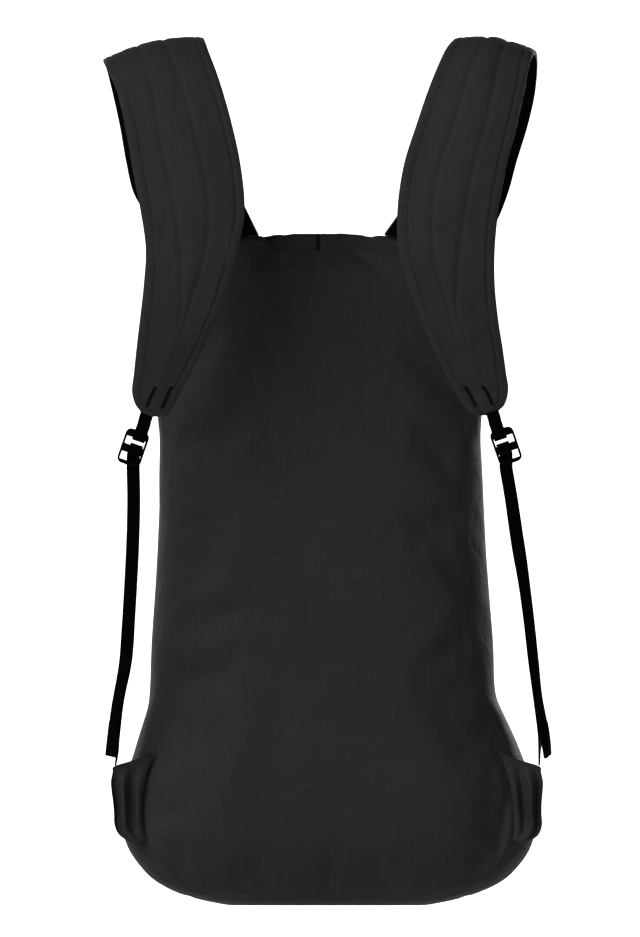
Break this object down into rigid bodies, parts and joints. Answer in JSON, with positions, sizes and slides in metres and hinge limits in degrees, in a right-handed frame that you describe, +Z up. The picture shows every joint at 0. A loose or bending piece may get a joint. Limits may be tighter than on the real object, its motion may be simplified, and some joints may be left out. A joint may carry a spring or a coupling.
{
  "type": "packable backpack",
  "caption": "Light packable backpack with a soft hollow bag, padded shoulder straps held in worn arches, ladder-lock buckles and adjuster webbing.",
  "frame": {"origin": "midway between the two strap arches at the height of the left arch's underside, where shoulders carry the bag", "axes": "+Z up, -Y towards the wearer (the harness side), +X to the right when looking at the harness side"},
  "size_m": [0.3232, 0.2486, 0.626],
  "materials": {
    "bag_cloth": "matte ripstop",
    "strap_cloth": "matte ripstop over padding",
    "webbing": "woven",
    "zipper_tape": "woven tape with a coil",
    "hard_plastic": "satin"
  },
  "bodies": {
    "root": {"back_panel": "bag_cloth", "front_panel": "bag_cloth", "side_panel_left": "bag_cloth", "side_panel_right": "bag_cloth", "base_panel": "bag_cloth", "corner_wing_left": "bag_cloth", "corner_wing_right": "bag_cloth", "zipper": "zipper_tape", "zipper_slider": "hard_plastic", "strap_left": "strap_cloth", "strap_right": "strap_cloth", "tip_webbing_left": "webbing", "tip_webbing_right": "webbing", "adjuster_webbing_left": "webbing", "adjuster_webbing_right": "webbing", "buckle_left": "hard_plastic", "buckle_right": "hard_plastic"}
  },
  "joints": []
}
